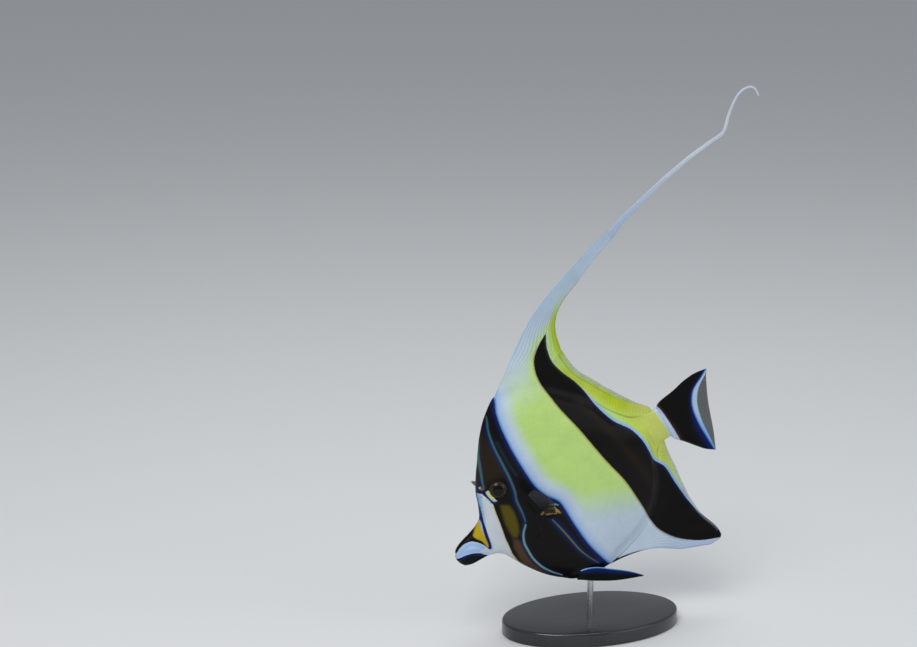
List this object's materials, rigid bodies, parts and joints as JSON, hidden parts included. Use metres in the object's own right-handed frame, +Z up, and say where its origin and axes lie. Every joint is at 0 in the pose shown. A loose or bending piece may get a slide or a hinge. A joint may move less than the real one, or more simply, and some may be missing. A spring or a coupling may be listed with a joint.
{
  "type": "moorish idol fish model",
  "caption": "Life-size still model of a moorish idol reef fish, nose down in a swimming pose with a trailing dorsal streamer, on a plain oval display stand.",
  "frame": {"origin": "middle of the underside of the stand's oval base, on the floor", "axes": "+Z up; the fish faces -X with its nose down by 28 degrees, its left side towards -Y; X is the long way of the base"},
  "size_m": [0.1826, 0.068, 0.3099],
  "materials": {
    "skin_black": "satin",
    "snout_white": "satin",
    "snout_black": "satin",
    "eye_dark": "gloss",
    "horn_brown": "satin",
    "cheek_brown": "satin",
    "skin_yellow": "satin",
    "stalk_yellow": "satin",
    "fin_pale": "satin",
    "whip_white": "satin",
    "streamer_white": "satin",
    "fin_white": "satin",
    "fin_black": "satin",
    "fin_clear": "satin",
    "fin_dark": "satin",
    "base_black": "satin",
    "rod_steel": "brushed"
  },
  "bodies": {
    "root": {"head": "skin_black", "upper_jaw": "snout_white", "lower_jaw": "snout_black", "eye_left": "eye_dark", "eye_right": "eye_dark", "horn_left": "horn_brown", "horn_right": "horn_brown", "gill_cover_left": "cheek_brown", "gill_cover_right": "cheek_brown", "torso": "skin_yellow", "tail_stalk": "stalk_yellow", "dorsal_fin": "fin_pale", "dorsal_streamer": "streamer_white", "dorsal_whip": "whip_white", "anal_fin": "fin_white", "caudal_fin": "fin_black", "pectoral_fin_left": "fin_clear", "pectoral_fin_right": "fin_clear", "pelvic_fin_left": "fin_dark", "pelvic_fin_right": "fin_dark", "stand_base": "base_black", "stand_rod": "rod_steel"}
  },
  "joints": []
}
